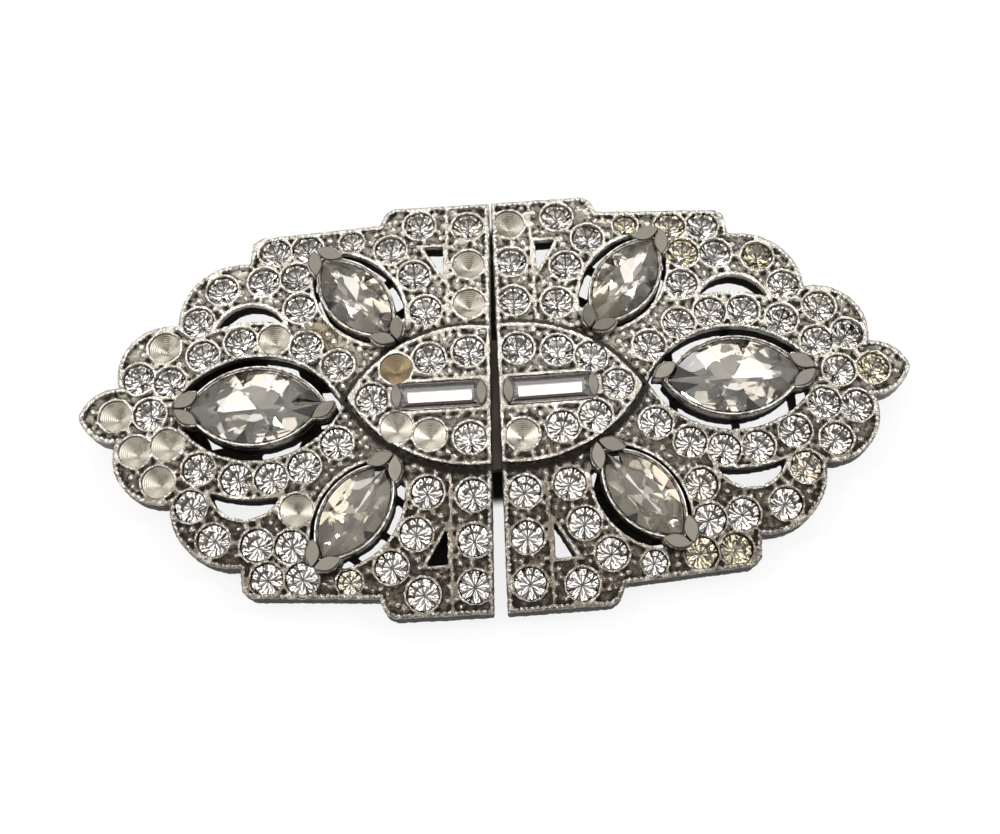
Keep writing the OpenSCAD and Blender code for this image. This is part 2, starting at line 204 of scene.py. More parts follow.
def turned(p, x, y, turn):
    """A point seen from a place on the clip that is turned by some degrees."""
    q = p - spot(x, y)
    a = -math.radians(turn)
    return Vector((q.x * math.cos(a) - q.y * math.sin(a), q.x * math.sin(a) + q.y * math.cos(a)))


# The upper half of the outline without its arcs: from the joint by the box and the shelf to the scallops
half_outline = [
    (inner_x + inner_slant * box_y, box_y),
    (box_x - box_slant, box_y),
    (box_x + box_slant, shelf_y + shelf_slant),
    (shelf_x, shelf_y - shelf_slant),
    (shelf_x + shelf_slant, shelf_y - shelf_lip),
    scallop_1[:2],
    scallop_2[:2],
]
outline_corners = [spot(x, y) for x, y in half_outline]
outline_corners += [spot(x, -y) for x, y in half_outline[:0:-1]]
outline_corners.append(spot(inner_x - inner_slant * box_y, -box_y))
tip_r = (tip_l ** 2 + tip_w ** 2) / (2 * tip_w)


def tip_gap(p):
    return max(disc_gap(p, tip_root, tip_w - tip_r, tip_r), disc_gap(p, tip_root, tip_r - tip_w, tip_r),
               scallop_2[0] - p.x)


def outline_gap(p):
    gaps = [polygon_gap(p, outline_corners), tip_gap(p)]
    for row in (1, -1):
        gaps.append(disc_gap(p, scallop_1[0], row * scallop_1[1], scallop_1[2]))
        gaps.append(disc_gap(p, scallop_2[0], row * scallop_2[1], scallop_2[2]))
    return min(gaps)


def almond_gap(p):
    arcs = max(disc_gap(p, big_x, -almond_c, almond_r), disc_gap(p, big_x, almond_c, almond_r))
    return max(arcs, p.x - almond_end)


def slit_gap(p, row):
    q = turned(p, navette_x, row * navette_y, row * navette_turn)
    inner = (q - Vector((0, -row * (slit_r - slit_in)))).length - slit_r
    outer = (q - Vector((0, row * (slit_r - slit_out)))).length - slit_r
    return max(inner, outer, abs(q.x) - slit_l / 2)


def crescent_gap(p, row):
    return max(disc_gap(p, crescent_at[0], row * crescent_at[1], crescent_r),
               -disc_gap(p, big_x, -row * almond_c, arch_r + arch_w))


def corner_gap(p, row):
    side_x = rib_x + rim_w + gap_rim
    corners = [(side_x, gap_top), (side_x + gap_w, gap_top), (side_x, gap_top - gap_l)]
    return polygon_gap(p, [spot(x, row * y) for x, y in corners])


def openings_gap(p):
    gaps = [almond_gap(p)]
    for row in (1, -1):
        gaps += [slit_gap(p, row), crescent_gap(p, row), corner_gap(p, row)]
    return min(gaps)


def medallion_gap(p):
    centre_y = medal_r - medal_y
    return max(disc_gap(p, medal_x, -centre_y, medal_r), disc_gap(p, medal_x, centre_y, medal_r))


def cups_gap(p):
    gaps = [vesica_gap(turned(p, big_x, 0, 0), big_l / 2, big_w / 2)]
    for row in (1, -1):
        q = turned(p, navette_x, row * navette_y, row * navette_turn)
        gaps.append(vesica_gap(q, navette_l / 2, navette_w / 2))
    return min(gaps)


def seats_gap(p):
    return min((p - spot(x, y)).length - d / 2 for x, y, d in seats.values())


def baguette_gap(p):
    end_plate = 1.0
    q = p - spot(baguette_x, 0)
    return max(abs(q.x) - baguette_l / 2 - end_plate, abs(q.y) - baguette_w / 2)


# Work by hand on one piece at a time

def alone(piece):
    """Makes a piece the only one selected, and the active one."""
    bpy.ops.object.select_all(action="DESELECT")
    piece.select_set(True)
    bpy.context.view_layer.objects.active = piece
    return piece


def named(name):
    """The primitive just added, under its name."""
    piece = bpy.context.active_object
    piece.name = piece.data.name = name
    return piece


def edit():
    bpy.ops.object.mode_set(mode="EDIT")


def done():
    bpy.ops.object.mode_set(mode="OBJECT")


def everything():
    bpy.ops.mesh.select_all(action="SELECT")


def finished(piece):
    """Applies the modifiers of a piece."""
    alone(piece)
    for modifier in list(piece.modifiers):
        bpy.ops.object.modifier_apply(modifier=modifier.name)
    return piece


def copied(piece, place, name):
    """A copy of a piece with its own mesh, with the place in the mesh."""
    other = piece.copy()
    other.data = piece.data.copy()
    other.name = other.data.name = name
    other.data.transform(place)
    bpy.context.collection.objects.link(other)
    return other


def joined(pieces, name):
    """Joins pieces into the first one."""
    alone(pieces[0])
    for piece in pieces:
        piece.select_set(True)
    bpy.ops.object.join()
    return named(name)


def strewn(model, places, name):
    """One copy of a model at each place, joined."""
    return joined([copied(model, place, name) for place in places], name)


def thrown_away(*pieces):
    for piece in pieces:
        bpy.data.meshes.remove(piece.data)


def coat(piece, *finishes):
    """Gives a piece its finishes, in the order of its material slots."""
    piece.data.materials.clear()
    for finish in finishes:
        piece.data.materials.append(finish)


def marked(piece, name, value):
    """Writes one number on all points of a piece, for its finish to read."""
    values = piece.data.attributes.new(name, "FLOAT", "POINT").data
    values.foreach_set("value", [value] * len(values))


# Finishes

class Nodes:
    """A node tree, built from its shader outwards."""

    def __init__(self, tree, shader, coordinates):
        self.tree = tree
        self.shader = tree.nodes[shader]
        self.place = self.node("ShaderNodeTexCoord").outputs[coordinates]

    def node(self, kind, **settings):
        made = self.tree.nodes.new(kind)
        for key, value in settings.items():
            setattr(made, key, value)
        return made

    def feed(self, socket, value):
        if isinstance(value, bpy.types.NodeSocket):
            self.tree.links.new(value, socket)
        else:
            socket.default_value = value

    def set(self, **values):
        for key, value in values.items():
            self.feed(self.shader.inputs[key.replace("_", " ")], value)

    def noise(self, size, detail=4.0, rough=0.55):
        """Noise whose features are about size millimetres wide."""
        made = self.node("ShaderNodeTexNoise")
        self.feed(made.inputs["Vector"], self.place)
        self.feed(made.inputs["Scale"], 1 / (size * MM))
        self.feed(made.inputs["Detail"], detail)
        self.feed(made.inputs["Roughness"], rough)
        return made.outputs["Fac"]

    def math(self, operation, a, b=0.0, clamp=False):
        made = self.node("ShaderNodeMath", operation=operation, use_clamp=clamp)
        self.feed(made.inputs[0], a)
        self.feed(made.inputs[1], b)
        return made.outputs[0]

    def split(self, vector):
        made = self.node("ShaderNodeSeparateXYZ")
        self.feed(made.inputs[0], vector)
        return made.outputs

    def ramp(self, value, low, high, out_low=0.0, out_high=1.0):
        """Follows a value from low to high smoothly."""
        made = self.node("ShaderNodeMapRange", interpolation_type="SMOOTHSTEP")
        for socket, number in zip(made.inputs, (value, low, high, out_low, out_high)):
            self.feed(socket, number)
        return made.outputs[0]

    def blend(self, share, a, b):
        """Goes from colour a to colour b."""
        made = self.node("ShaderNodeMix", data_type="RGBA")
        self.feed(made.inputs[0], share)
        self.feed(made.inputs[6], a if isinstance(a, bpy.types.NodeSocket) else (*a, 1))
        self.feed(made.inputs[7], b if isinstance(b, bpy.types.NodeSocket) else (*b, 1))
        return made.outputs[2]

    def near(self, x, y, within, beyond):
        """1 within some millimetres of a point of the brooch's plan, fading to 0."""
        apart = self.node("ShaderNodeVectorMath", operation="DISTANCE")
        self.feed(apart.inputs[0], self.place)
        self.feed(apart.inputs[1], (x * MM, y * MM, face_z * MM))
        return self.ramp(apart.outputs["Value"], beyond * MM, within * MM)

    def occlusion_shade(self, reach, open_at, shut_at):
        """Painted shade from ambient occlusion: grows from 0 in the open to 1 where the surface is closed in,
        over a reach in millimetres.
        """
        made = self.node("ShaderNodeAmbientOcclusion", samples=3, only_local=True)
        self.feed(made.inputs["Distance"], reach * MM)
        return self.ramp(made.outputs["AO"], open_at, shut_at)

    def written(self, name):
        """A number written on the points of the piece."""
        return self.node("ShaderNodeAttribute", attribute_name=name).outputs["Fac"]

    def bump(self, height, depth, strength=1.0):
        """Roughens the surface by a height of some millimetres."""
        made = self.node("ShaderNodeBump")
        self.feed(made.inputs["Height"], height)
        self.feed(made.inputs["Distance"], depth * MM)
        self.feed(made.inputs["Strength"], strength)
        self.set(Normal=made.outputs[0])


class Finish(Nodes):
    """A material."""

    def __init__(self, name):
        self.material = bpy.data.materials.new(name)
        self.material.use_nodes = True
        super().__init__(self.material.node_tree, "Principled BSDF", "Object")


def aged_cast_metal():
    """Worn plate on cast metal, with painted light: painted highlights on the edges, painted shade that makes
    it browner and darker lower down the brooch, and very dark recesses from tarnish and painted shade.
    """
    # The bright colour is a painted highlight for the edges.
    dull, pale, bright = (0.42, 0.39, 0.33), (0.62, 0.585, 0.51), (0.86, 0.84, 0.79)
    # The first colour is a painted shade lower down the brooch; rusty is a real stain.
    low_shade_brown, rusty = (0.115, 0.092, 0.068), (0.28, 0.2, 0.11)
    # Very dark colours: tarnish with painted shade in recesses, and painted shade in the deepest places.
    grime_and_shade_dark, shade_black = (0.014, 0.0105, 0.0075), (0.01, 0.008, 0.006)
    f = Finish("aged_cast_metal")
    cloud = f.noise(1.6)
    grain = f.noise(0.3, detail=3.0)
    fine = f.noise(0.12, detail=2.0)
    lift_and_shade = f.math("ADD", f.written("lift_and_shade"), f.math("MULTIPLY", f.math("SUBTRACT", grain, 0.5), 0.3))
    # Tarnish with painted shade where the surface lies low, and on the outer walls and the flank that are set
    # low for it.
    low_grime_and_shade = f.ramp(lift_and_shade, 0.09, -0.06)
    bend = f.node("ShaderNodeNewGeometry").outputs["Pointiness"]
    # Painted highlight on convex edges, broken up by the grain and weaker towards the bottom.
    edge = f.math("MULTIPLY", f.ramp(bend, 0.51, 0.57), f.ramp(grain, 0.4, 0.58, 0.08, 1.0))
    edge = f.math("MULTIPLY", edge, f.ramp(f.split(f.place)["Y"], -0.018, 0.004, 0.5, 1.0))
    # Tarnish and painted shade in concave creases, then painted shade from ambient occlusion.
    hollow_shade = f.ramp(bend, 0.49, 0.45)
    painted_occlusion = f.occlusion_shade(0.5, 0.9, 0.56)
    # Painted shade: browner and darker towards the bottom of the brooch.
    lower = f.ramp(f.split(f.place)["Y"], 0.009, -0.013)
    wear_and_painted_light = f.blend(f.ramp(cloud, 0.35, 0.65), dull, pale)
    wear_and_painted_light = f.blend(f.math("MULTIPLY", lower, 0.88), wear_and_painted_light, low_shade_brown)
    stain = f.math("MULTIPLY", f.near(-15.8, 7.6, 0.8, 3.0), f.ramp(grain, 0.35, 0.6, 0.2, 0.8))
    # The painted edge highlight goes over the rust stain.
    wear_and_painted_light = f.blend(edge, f.blend(stain, wear_and_painted_light, rusty), bright)
    # Tarnish and painted shade in low places, stronger towards the bottom, joined by the creases and the
    # occlusion.
    grime_and_shade = f.math("MULTIPLY", low_grime_and_shade, f.ramp(lower, 0.0, 1.0, 0.42, 0.92))
    grime_and_shade = f.math("MAXIMUM", grime_and_shade, f.math("MAXIMUM", hollow_shade, painted_occlusion))
    # Painted shade, very dark: the walls of the openings, the flank round the medallion and the lumps under
    # openings.
    deep_shade = f.ramp(f.written("lift_and_shade"), -0.15, -0.6)
    grimed_and_shaded = f.blend(grime_and_shade, wear_and_painted_light, grime_and_shade_dark)
    f.set(Base_Color=f.blend(deep_shade, grimed_and_shaded, shade_black), Metallic=f.ramp(grime_and_shade, 0.3, 1.0, 1.0, 0.1))
    f.shader.inputs["Specular IOR Level"].default_value = 0.15
    shine = f.math("ADD", f.ramp(grime_and_shade, 0.0, 1.0, 0.17, 0.5), f.math("MULTIPLY", grain, 0.14))
    f.set(Roughness=f.math("MAXIMUM", shine, f.math("MULTIPLY", deep_shade, 0.95)))
    f.bump(f.math("ADD", grain, f.math("MULTIPLY", fine, 0.7)), 0.1)
    return f.material


def prong_metal():
    """Flat leaves of the prongs, evenly dull."""
    dark, pale = (0.12, 0.11, 0.092), (0.23, 0.215, 0.185)
    f = Finish("prong_metal")
    cloud = f.noise(1.1)
    f.set(Base_Color=f.blend(cloud, dark, pale), Metallic=0.95)
    f.set(Roughness=f.ramp(cloud, 0.3, 0.7, 0.34, 0.5))
    f.bump(f.noise(0.3), 0.015)
    return f.material


def bezel_metal():
    """Thin walls round the marquises, bright with dull patches."""
    dull, bright = (0.22, 0.2, 0.17), (0.78, 0.76, 0.71)
    f = Finish("bezel_metal")
    cloud = f.noise(0.7)
    f.set(Base_Color=f.blend(f.ramp(cloud, 0.35, 0.65), dull, bright), Metallic=1.0)
    f.set(Roughness=f.ramp(cloud, 0.3, 0.7, 0.2, 0.36))
    f.bump(f.noise(0.25), 0.02)
    return f.material


def bare_seat():
    """Turned inside of a seat whose stone is gone, with painted reflections, bright fans and a paler near
    side, and in places a crust of glue.
    """
    dull, pale, bright = (0.2, 0.185, 0.15), (0.33, 0.31, 0.265), (0.74, 0.7, 0.61)
    glue_brown = (0.22, 0.17, 0.1)
    f = Finish("bare_seat")
    cloud = f.noise(0.9)
    turned_metal = f.blend(f.ramp(cloud, 0.35, 0.65), dull, pale)
    # Painted reflection: the bright fans and the paler near side of the turned cone.
    turned_metal = f.blend(f.written("painted_glint"), turned_metal, bright)
    f.set(Base_Color=f.blend(f.written("crust"), turned_metal, glue_brown), Metallic=0.92)
    f.set(Roughness=f.ramp(cloud, 0.3, 0.7, 0.24, 0.4))
    f.bump(f.noise(0.35), 0.025)
    return f.material


def clear_glass():
    """Old glass, a little scratched."""
    warm, cool = (1.0, 0.995, 0.98), (0.975, 0.97, 0.97)
    f = Finish("clear_glass")
    scratch = f.noise(0.5)
    f.set(Base_Color=f.blend(scratch, warm, cool), Transmission_Weight=1.0)
    f.set(Roughness=f.ramp(scratch, 0.6, 0.8, 0.0, 0.04))
    f.shader.inputs["IOR"].default_value = 1.54
    return f.material


def stone_foil():
    """Foil behind the glass: each facet has its own painted shade, dark on some facets, standing in for the
    reflections that draw a star; and old foil is yellow or has grey blotches.
    """
    silver, yellow, blotched = (1.0, 0.985, 0.96), (0.97, 0.91, 0.77), (0.42, 0.39, 0.32)
    shade_black, cloudy = (0.012, 0.01, 0.01), (0.17, 0.13, 0.12)
    f = Finish("stone_foil")
    age = f.written("age")
    milky = f.written("milky")
    spoiled = f.math("MAXIMUM", f.near(10.9, 7.9, 0.8, 2.6), f.near(-11.9, 7.3, 0.8, 2.6))
    spoiled = f.math("ADD", f.math("MULTIPLY", spoiled, 0.4), f.math("MULTIPLY", age, 0.2))
    blotch = f.ramp(f.math("ADD", f.noise(1.0), spoiled), 0.78, 0.88)
    # Painted shade per facet: dark facets stand in for the reflections that draw the stones' stars.
    shade = f.written("shade")
    tone = f.blend(f.ramp(age, 0.35, 1.0), silver, yellow)
    dark = f.blend(milky, shade_black, cloudy)
    painted_facet_light = f.blend(shade, dark, tone)
    f.set(Base_Color=f.blend(blotch, painted_facet_light, blotched), Metallic=f.ramp(milky, 0.0, 1.0, 1.0, 0.3))
    f.set(Roughness=f.math("MAXIMUM", f.ramp(blotch, 0.0, 1.0, 0.02, 0.45), f.math("MULTIPLY", milky, 0.1)))
    return f.material


def plated_steel():
    """Dull plate on the levers, the frame and the pin, darkened further as painted shade for where it shows
    in the gap between the clips.
    """
    # The colours are darker than the plate would be: painted shade for the gap between the clips.
    dark, pale = (0.05, 0.045, 0.038), (0.13, 0.12, 0.105)
    f = Finish("plated_steel")
    cloud = f.noise(3.0)
    f.set(Base_Color=f.blend(cloud, dark, pale), Metallic=1.0)
    f.set(Roughness=f.ramp(cloud, 0.3, 0.7, 0.42, 0.6))
    f.bump(f.noise(0.4), 0.01)
    return f.material


metal = aged_cast_metal()
prong = prong_metal()
bezel = bezel_metal()
seat_metal = bare_seat()
glass = clear_glass()
foil = stone_foil()
steel = plated_steel()


# Cut stones

def facet(height, reach, slope, azimuth, up):
    """Grinds a facet that leans in by the slope from a line at this reach and height."""
    a = math.radians(azimuth)
    normal = Vector((math.sin(slope) * math.cos(a), math.sin(slope) * math.sin(a), up * math.cos(slope)))
    everything()
    bpy.ops.mesh.bisect(plane_co=(reach * math.cos(a), reach * math.sin(a), height), plane_no=normal,
                        use_fill=True, clear_outer=True)


def foiled(stone, below, dull, dark_facet_shade=0.08, painted_facet_light=0.75):
    """The facets at some azimuths get a dark painted shade, which draws the star that the foil's reflections
    would draw.
    """
    coat(stone, glass, foil)
    chance = random.Random(5)
    shades = stone.data.attributes.new("shade", "FLOAT", "FACE").data
    for face, shade in zip(stone.data.polygons, shades):
        face.material_index = 1 if face.center.z < below else 0
        face.use_smooth = False
        azimuth = math.degrees(math.atan2(face.normal.y, face.normal.x)) % 360
        # Painted shade: the facets at the given azimuths are dark, the others light.
        is_painted_dark = any(abs((azimuth - a + 180) % 360 - 180) < 3 for a in dull)
        shade.value = chance.uniform(0.0, dark_facet_shade) if is_painted_dark else chance.uniform(painted_facet_light, 1.0)
    return stone


def oval_arc(half_l, half_w):
    """Radius and half angle of the two arcs that make a pointed oval."""
    r = (half_l ** 2 + half_w ** 2) / (2 * half_w)
    return r, math.asin(half_l / r)


def on_oval(point, half_l, half_w):
    """Where a point of the unit circle comes to lie on a pointed oval."""
    r, half_arc = oval_arc(half_l, half_w)
    angle = math.atan2(point.y, point.x)
    p = math.pi / 2 - half_arc + 2 * half_arc * (abs(angle) / math.pi)
    return r * math.cos(p), math.copysign(r * math.sin(p) - r + half_w, angle)


def cut_stone(name, half_l, half_w, crown, depth, table, mains, halves, sides=64):
    """A brilliant about the origin, cut from a slab with the outline of a circle or a pointed oval."""
    is_round = half_l == half_w
    half_girdle = girdle_t / 2
    r, half_arc = oval_arc(half_l, half_w)
    bpy.ops.mesh.primitive_cylinder_add(vertices=sides, radius=1, depth=crown + depth,
                                        location=(0, 0, (crown - depth) / 2))
    stone = named(name)
    bpy.ops.object.transform_apply(location=True)
    for v in stone.data.vertices:
        if is_round:
            v.co.x *= half_l
            v.co.y *= half_l
        else:
            v.co.x, v.co.y = on_oval(v.co, half_l, half_w)

    def reach(azimuth):
        a = math.radians(azimuth)
        if is_round:
            return half_l
        if abs(math.cos(a)) > math.sin(half_arc):
            return half_l * abs(math.cos(a))
        return r - (r - half_w) * abs(math.sin(a))

    def both_facets(azimuth, upper=1.0, lower=1.0):
        """One facet over the girdle and one under it, steeper than the main ones by these factors."""
        d = reach(azimuth)
        facet(half_girdle, d, math.atan2(crown - half_girdle, d * (1 - table)) * upper, azimuth, 1)
        facet(-half_girdle, d, math.atan2(depth - half_girdle, d) * lower, azimuth, -1)

    edit()
    for azimuth in mains:
        both_facets(azimuth)
    for azimuth in halves:
        both_facets(azimuth, 1.14, 1.004 if is_round else 1.07)
    star_reach, star_slope = 0.93, 0.62
    for a, b in zip(mains, mains[1:] + [mains[0] + 360]):
        azimuth = (a + b) / 2
        d = reach(azimuth)
        facet(crown, d * table * star_reach, math.atan2(crown, d * (1 - table)) * star_slope, azimuth, 1)
    done()
    foil_top = half_girdle - 0.01
    # The foil's painted shade is dark on the main facets of a round stone and on every third half of a
    # marquise.
    if is_round:
        return foiled(stone, foil_top, mains, 0.25, 0.97)
    return foiled(stone, foil_top, halves[::3], 0.1, 0.88)


def step_stone(name, half_l, half_w, crown, depth):
    """An oblong stone with two steps above and two below."""
    bpy.ops.mesh.primitive_cube_add(size=1, location=(0, 0, (crown - depth) / 2),
                                    scale=(2 * half_l, 2 * half_w, crown + depth))
    stone = named(name)
    bpy.ops.object.transform_apply(location=True, scale=True)
    half_girdle = 0.04
    # Height, inset, slope and direction of the facets on each side
    steps = (
        (half_girdle, 0.0, 50, 1), (crown / 2, 0.2, 28, 1),
        (-half_girdle, 0.0, 50, -1), (-depth / 2, 0.42, 30, -1),
    )
    edit()
    for azimuth, reach in ((0, half_l), (90, half_w), (180, half_l), (270, half_w)):
        for height, inset, slope, up in steps:
            facet(height, reach - inset, math.radians(slope), azimuth, up)
    done()
    # The foil's facets on the near long side get a dark painted shade, as if they mirrored the dark near side
    # of the room.
    near_side = 270
    return foiled(stone, -half_girdle / 2, (near_side,))


girdle_t = 0.06
# Azimuths of the main facets and of the halves between them, first for round stones and then for marquises
eighths = [45.0 * i for i in range(8)]
sixteenths = [45.0 * i + s for i in range(8) for s in (11.25, 33.75)]
long_mains = [start + a for start in (0.0, 180.0) for a in (0.0, 52.0, 90.0, 128.0)]
quarter = [14.0, 36.0, 68.0, 80.0]
half_turn = quarter + [180.0 - a for a in reversed(quarter)]
long_halves = half_turn + [180.0 + a for a in half_turn]

round_cut = cut_stone("round_cut", round_d / 2, round_d / 2, crown=0.56, depth=1.24, table=0.62,
                      mains=eighths, halves=sixteenths, sides=32)
small_cut = cut_stone("small_cut", small_d / 2, small_d / 2, crown=0.42, depth=0.94, table=0.62,
                      mains=eighths, halves=sixteenths, sides=32)
big_cut = cut_stone("big_cut", big_l / 2, big_w / 2, crown=0.9, depth=1.7, table=0.5,
                    mains=long_mains, halves=long_halves)
navette_cut = cut_stone("navette_cut", navette_l / 2, navette_w / 2, crown=0.8, depth=1.5, table=0.5,
                        mains=long_mains, halves=long_halves)
baguette_cut = step_stone("baguette_cut", baguette_l / 2, baguette_w / 2, crown=0.5, depth=0.6)

# How far the set stones have sunk: the rounds into their seats, the marquises under their cups' rims
# and the baguette under the rim of its own seat
sunk = 0.17
navette_sunk = 0.1
baguette_sunk = 0.05
# Spread of the round stones' tilt, in degrees, and of their height
tilt_spread = 2.2
height_spread = 0.03


def set_stone(model, place, name, age, milky):
    """One stone in its place, with the state of its foil written on it."""
    stone = copied(model, place, name)
    marked(stone, "age", age)
    marked(stone, "milky", milky)
    return stone


def set_stones(side, chance):
    """The stones of one clip, each a little out of true, as pieces that stand for the part's nodes."""
    word = "right" if side > 0 else "left"
    place = clip_place(side)
    rounds = []
    for name, (x, y, d) in seats.items():
        tilt = Matrix.Rotation(math.radians(chance.gauss(0, tilt_spread)), 4, "X")
        tilt = tilt @ Matrix.Rotation(math.radians(chance.gauss(0, tilt_spread)), 4, "Y")
        turn = chance.uniform(0, 360)
        age = chance.random() ** 5
        if name in lost[side]:
            continue
        if name in yellowed[side]:
            age = 1.0
        height = face_height_at(name) - sunk + chance.gauss(0, height_spread)
        model = round_cut if d == round_d else small_cut
        rounds.append(set_stone(model, place @ on_face(x, y, height, turn) @ tilt, name, age, 0.0))
    fields = joined(rounds, "round_stones_" + word)
    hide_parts("rounds_" + word)
    cup_top = cup_h - navette_sunk
    baguette_top = medal_h + rim_h - baguette_sunk
    baguette_turn = 0 if side > 0 else 180
    # Name, node, model, place on the face, age and milkiness
    singles = [
        ("tip_marquise_", "marquise_tip_", big_cut, on_face(big_x, 0, cup_top), 0.6, 0.28),
        ("top_marquise_", "marquise_top_", navette_cut, on_navette(side, cup_top), 0.65, 0.3),
        ("bottom_marquise_", "marquise_bottom_", navette_cut, on_navette(-side, cup_top), 0.72, 0.3),
        ("baguette_stone_", "baguette_", baguette_cut,
         on_face(baguette_x, 0, baguette_top, baguette_turn), 0.1, 0.35),
    ]
    shown = [fields]
    for name, node, model, spot_on_face, age, milky in singles:
        stone = set_stone(model, place @ spot_on_face, name + word, age, milky)
        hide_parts(node + word)
        shown.append(stone)
    for stone in shown:
        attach(stone, "root")


# The casting

def row_of_beads(edges, gap, distance, pitch):
    """Places along the edges that lie at this distance from the shape, a pitch apart."""
    close_to = 0.03
    kept = []
    for points in edges:
        for p in points:
            neighbours = kept[-8:] + kept[:4]
            if abs(gap(p) - distance) < close_to and all((p - q).length > pitch for q in neighbours):
                kept.append(p)
    return kept


def circle_points(x, y, r, step=0.04):
    centre = spot(x, y)
    count = int(2 * math.pi * r / step)
    return [centre + Vector((math.cos(t), math.sin(t))) * r for t in
            (2 * math.pi * i / count for i in range(count))]


def line_points(a, b, inset, step=0.04):
    """Points of a line moved to its left by the inset."""
    along = (b - a).normalized()
    shift = Vector((-along.y, along.x)) * inset
    count = int((b - a).length / step)
    return [a + shift + along * (i * step) for i in range(count)]


def outline_beads(inset, pitch):
    """Places of the beads along the outer rim."""
    edges = []
    for a, b in zip(outline_corners, outline_corners[1:] + outline_corners[:1]):
        edges.append(line_points(a, b, -inset))
    for row in (1, -1):
        edges.append(circle_points(scallop_1[0], row * scallop_1[1], scallop_1[2] - inset))
        edges.append(circle_points(scallop_2[0], row * scallop_2[1], scallop_2[2] - inset))
    edges.append(circle_points(tip_root, tip_w - tip_r, tip_r - inset))
    edges.append(circle_points(tip_root, tip_r - tip_w, tip_r - inset))
    return row_of_beads(edges, outline_gap, -inset, pitch)


def almond_beads(out, pitch):
    """Places of the beads along the rim of the large opening."""
    edges = [circle_points(big_x, y, almond_r + out) for y in (-almond_c, almond_c)]
    return row_of_beads(edges, almond_gap, out, pitch)


def grains(chance):
    """Round grains in the spaces between the seats, as large as the spaces let them be."""
    tries = 7000
    least_room, largest = 0.05, 0.38
    tried = []
    for _ in range(tries):
        p = Vector((chance.uniform(0.5, tip_root + tip_l), chance.uniform(-box_y, box_y)))
        # Clear of the rims, the openings, the collars, the cups, the medallion's edge and the baguette
        room = min(-outline_gap(p) - 0.62, openings_gap(p) - 0.35, seats_gap(p) - collar_w - 0.06,
                   cups_gap(p) - 0.5, abs(medallion_gap(p)) - 0.3, baguette_gap(p) - 0.2)
        if room > least_room:
            tried.append((room, p))
    tried.sort(key=lambda pair: -pair[0])
    kept = []
    for room, p in tried:
        size = min(largest, room + 0.08) * chance.uniform(0.8, 1.1)
        if all((p - q).length > (size + other) * 0.92 for other, q in kept):
            kept.append((size, p))
    return kept


def bead_model():
    """A round bead, a little flattened."""
    bpy.ops.mesh.primitive_ico_sphere_add(subdivisions=2, radius=1)
    bead = named("bead_model")
    edit()
    everything()
    bpy.ops.transform.resize(value=(1, 1, 0.85))
    done()
    return bead


def face_height(p):
    return medal_h if medallion_gap(p) < 0 else 0.0


def medallion_flank():
    """The sloping flank round the medallion: two steps of stretched beads along its arcs."""
    foot = -0.5
    places = []
    for row in (1, -1):
        for out, top, width in ((0.5, 0.12, 0.5), (0.22, 0.42, 0.32)):
            block = Matrix.Diagonal((width / 2, width / 2, (top - foot) / 2 + 0.1, 1))
            for p in circle_points(medal_x, row * (medal_y - medal_r), medal_r + out, 0.22):
                on_arc = p.y * row > 0 and abs(medallion_gap(p) - out) < 0.05
                if on_arc and p.x > inner_x + inner_slant * p.y + 0.15:
                    places.append(on_spot(p, (foot + top) / 2) @ block)
    return places


def relief(chance):
    """Everything that stands up from the plate beyond what the part has."""
    bead = bead_model()
    # The rows of beads on the rims: places, height and size
    bead_rows = ((outline_beads(inset=0.3, pitch=0.5), 0.18, 0.23),
                 (almond_beads(out=0.19, pitch=0.46), rim_h - 0.03, 0.21))
    places = []
    for beads, height, size in bead_rows:
        places += [on_spot(p, height) @ Matrix.Scale(size, 4) for p in beads]
    for size, p in grains(chance):
        places.append(on_spot(p, face_height(p) + 0.02) @ Matrix.Scale(size, 4))
    places += medallion_flank()
    made = strewn(bead, places, "relief")
    thrown_away(bead)
    return made


def casting_model(chance):
    """The cast clip in its own frame: the part's solid with its relief, run together as cast metal is."""
    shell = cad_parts["clip_right"]
    body = bpy.data.objects.new("casting_model", shell.data.copy())
    bpy.context.collection.objects.link(body)
    body.data.transform(clip_place(1).inverted())
    alone(body)
    edit()
    everything()
    bpy.ops.mesh.remove_doubles(threshold=0.002)
    done()
    body = joined([body, relief(chance)], "casting_model")
    remesh = body.modifiers.new("run_together", "REMESH")
    remesh.mode = "VOXEL"
    remesh.voxel_size = 0.095
    remesh.adaptivity = 0.0
    soften = body.modifiers.new("soften", "SMOOTH")
    soften.factor = 0.5
    soften.iterations = 2
    sand = bpy.data.textures.new("sand", "CLOUDS")
    sand.noise_scale = 0.42
    uneven = body.modifiers.new("uneven", "DISPLACE")
    uneven.texture = sand
    uneven.texture_coords = "LOCAL"
    uneven.strength = 0.16
    uneven.mid_level = 0.5
    fewer = body.modifiers.new("fewer", "DECIMATE")
    fewer.ratio = 0.15
    finished(body)
    worn_corners(body)
    return body


def worn_corners(body, r=0.8):
    """Wears the corners of the box and the shelf round."""
    for x, y in (half_outline[1], half_outline[3]):
        for row in (1, -1):
            centre = spot(x - r, row * (y - r))
            for v in body.data.vertices:
                out = Vector((v.co.x, v.co.y)) - centre
                if out.x > 0 and out.y * row > 0:
                    out *= max(out.x, abs(out.y)) / out.length
                    v.co.x, v.co.y = centre + out


